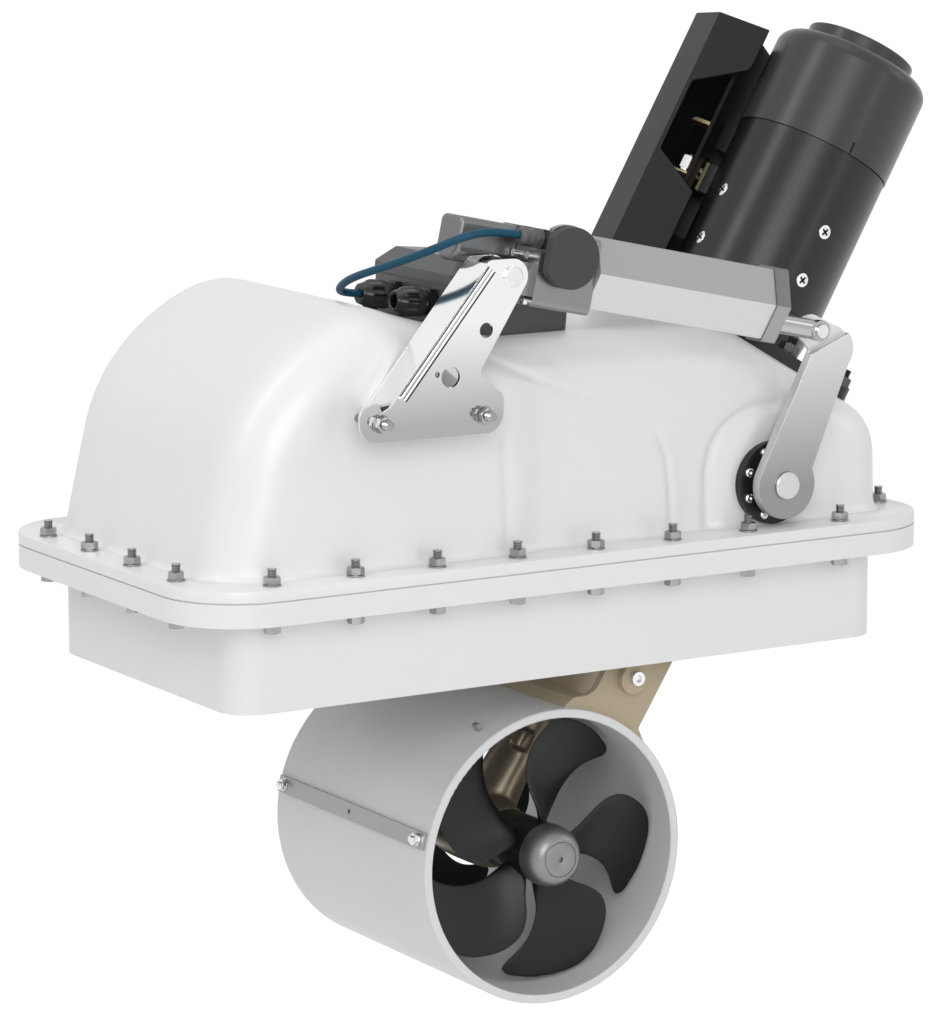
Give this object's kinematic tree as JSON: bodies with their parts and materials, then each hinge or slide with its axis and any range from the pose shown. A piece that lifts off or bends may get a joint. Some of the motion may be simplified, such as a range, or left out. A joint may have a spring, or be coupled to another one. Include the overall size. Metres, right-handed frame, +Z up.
{
  "type": "retractable bow thruster",
  "caption": "Retractable bow thruster: a tunnel with two propellers swings out of a moulded housing on a lever driven by an electric actuator, under a tilted motor.",
  "frame": {"origin": "centre of the lower rim of the base frame, where it sits on the hull", "axes": "+X along the housing towards the motor end, +Z up, -Y is the side with the lever and the actuator"},
  "size_m": [0.8566, 0.419, 0.855],
  "materials": {
    "housing_cover": "white moulded gelcoat",
    "base_frame": "white moulded gelcoat",
    "flange_seal": "pale sealant",
    "flange_bolts": "stainless steel",
    "flange_washers": "stainless steel",
    "flange_nuts": "stainless steel",
    "front_pivot_flange": "black coating",
    "rear_pivot_flange": "black coating",
    "pivot_screws": "stainless steel",
    "motor_flange": "black paint",
    "motor_studs": "stainless steel",
    "motor_body": "satin black paint",
    "motor_cap": "satin black paint",
    "motor_screws": "stainless steel",
    "motor_side_cover": "dark grey powder coat",
    "cover_spacers": "dull brass",
    "contactor_plate": "black paint",
    "contactor": "black moulding",
    "bus_bars": "dull brass",
    "power_terminals": "plated steel",
    "terminal_nuts": "stainless steel",
    "shaft_seal_housing": "machined",
    "actuator_bracket": "stainless steel",
    "bracket_pin": "stainless steel",
    "bracket_studs": "stainless steel",
    "control_box": "dark grey moulding",
    "control_box_lid": "dark grey moulding",
    "cable_glands": "black moulding",
    "signal_cable": "blue sheath",
    "lever": "stainless steel",
    "front_axle": "stainless steel",
    "rear_axle": "stainless steel",
    "axle_collar": "stainless steel",
    "swing_arms": "stainless steel",
    "arm_bolts": "stainless steel",
    "cradle": "beige paint",
    "leg_column": "beige paint",
    "tunnel": "white moulded gelcoat",
    "tunnel_strap": "satin",
    "strap_bolts": "stainless steel",
    "tunnel_tab": "stainless steel",
    "gear_leg": "bronze casting",
    "actuator_gear_housing": "cast and polished",
    "actuator_side_cap": "dark grey moulding",
    "actuator_motor_tube": "grey paint",
    "actuator_tube": "anodised extrusion",
    "actuator_end_cap": "cast and polished",
    "actuator_screws": "stainless steel",
    "cable_relief": "dark grey rubber",
    "actuator_rod": "stainless steel",
    "rod_end_pin": "stainless steel",
    "motor_shaft": "stainless steel",
    "joint_ball": "machined steel",
    "leg_shaft": "stainless steel",
    "prop_drive_front": "stainless steel",
    "propeller_front": "black moulding",
    "spinner_front": "dark grey",
    "prop_drive_rear": "stainless steel",
    "propeller_rear": "black moulding",
    "spinner_rear": "dark grey"
  },
  "bodies": {
    "housing": {"housing_cover": "housing_cover", "base_frame": "base_frame", "flange_seal": "flange_seal", "flange_bolts": "flange_bolts", "flange_washers": "flange_washers", "flange_nuts": "flange_nuts", "front_pivot_flange": "front_pivot_flange", "rear_pivot_flange": "rear_pivot_flange", "pivot_screws": "pivot_screws", "motor_flange": "motor_flange", "motor_studs": "motor_studs", "motor_body": "motor_body", "motor_cap": "motor_cap", "motor_screws": "motor_screws", "motor_side_cover": "motor_side_cover", "cover_spacers": "cover_spacers", "contactor_plate": "contactor_plate", "contactor": "contactor", "bus_bars": "bus_bars", "power_terminals": "power_terminals", "terminal_nuts": "terminal_nuts", "shaft_seal_housing": "shaft_seal_housing", "actuator_bracket": "actuator_bracket", "bracket_pin": "bracket_pin", "bracket_studs": "bracket_studs", "control_box": "control_box", "control_box_lid": "control_box_lid", "cable_glands": "cable_glands", "signal_cable": "signal_cable"},
    "swing_leg": {"lever": "lever", "front_axle": "front_axle", "rear_axle": "rear_axle", "axle_collar": "axle_collar", "swing_arms": "swing_arms", "arm_bolts": "arm_bolts", "cradle": "cradle", "leg_column": "leg_column", "tunnel": "tunnel", "tunnel_strap": "tunnel_strap", "strap_bolts": "strap_bolts", "tunnel_tab": "tunnel_tab", "gear_leg": "gear_leg"},
    "actuator": {"actuator_gear_housing": "actuator_gear_housing", "actuator_side_cap": "actuator_side_cap", "actuator_motor_tube": "actuator_motor_tube", "actuator_tube": "actuator_tube", "actuator_end_cap": "actuator_end_cap", "actuator_screws": "actuator_screws", "cable_relief": "cable_relief"},
    "actuator_rod": {"actuator_rod": "actuator_rod", "rod_end_pin": "rod_end_pin"},
    "motor_shaft": {"motor_shaft": "motor_shaft", "joint_ball": "joint_ball"},
    "leg_shaft": {"leg_shaft": "leg_shaft"},
    "front_propeller": {"prop_drive_front": "prop_drive_front", "propeller_front": "propeller_front", "spinner_front": "spinner_front"},
    "rear_propeller": {"prop_drive_rear": "prop_drive_rear", "propeller_rear": "propeller_rear", "spinner_rear": "spinner_rear"}
  },
  "joints": [
    {"name": "swing", "type": "hinge", "parent": "housing", "child": "swing_leg", "pos_m": [0.213, 0, 0.1505], "axis": [0, 1, 0], "range_deg": [0, 60]},
    {"name": "actuator_tilt", "type": "hinge", "parent": "housing", "child": "actuator", "pos_m": [-0.084, -0.187, 0.358], "axis": [0, 1, 0], "range_deg": [0, 8.59]},
    {"name": "rod_slide", "type": "slide", "parent": "actuator", "child": "actuator_rod", "axis": [0.9774, 0, -0.2115], "range_m": [0, 0.12743]},
    {"name": "motor_spin", "type": "hinge", "parent": "housing", "child": "motor_shaft", "pos_m": [0.288, 0, 0.2804], "axis": [0.5, 0, 0.866], "continuous": true},
    {"name": "leg_shaft_spin", "type": "hinge", "parent": "swing_leg", "child": "leg_shaft", "pos_m": [0.213, 0, 0.1505], "axis": [0.5446, 0, 0.8387], "continuous": true},
    {"name": "prop_front_spin", "type": "hinge", "parent": "swing_leg", "child": "front_propeller", "pos_m": [0.00386, -0.1, -0.17155], "axis": [0, 1, 0], "continuous": true},
    {"name": "prop_rear_spin", "type": "hinge", "parent": "swing_leg", "child": "rear_propeller", "pos_m": [0.00386, 0.1, -0.17155], "axis": [0, 1, 0], "continuous": true}
  ],
  "couplings": [
    {"joint": "actuator_tilt", "follows": "swing", "ratio": 0.14282},
    {"joint": "rod_slide", "follows": "swing", "m_per_rad": 0.1215},
    {"joint": "leg_shaft_spin", "follows": "motor_spin", "ratio": 1},
    {"joint": "prop_front_spin", "follows": "motor_spin", "ratio": 0.6},
    {"joint": "prop_rear_spin", "follows": "motor_spin", "ratio": -0.6}
  ]
}
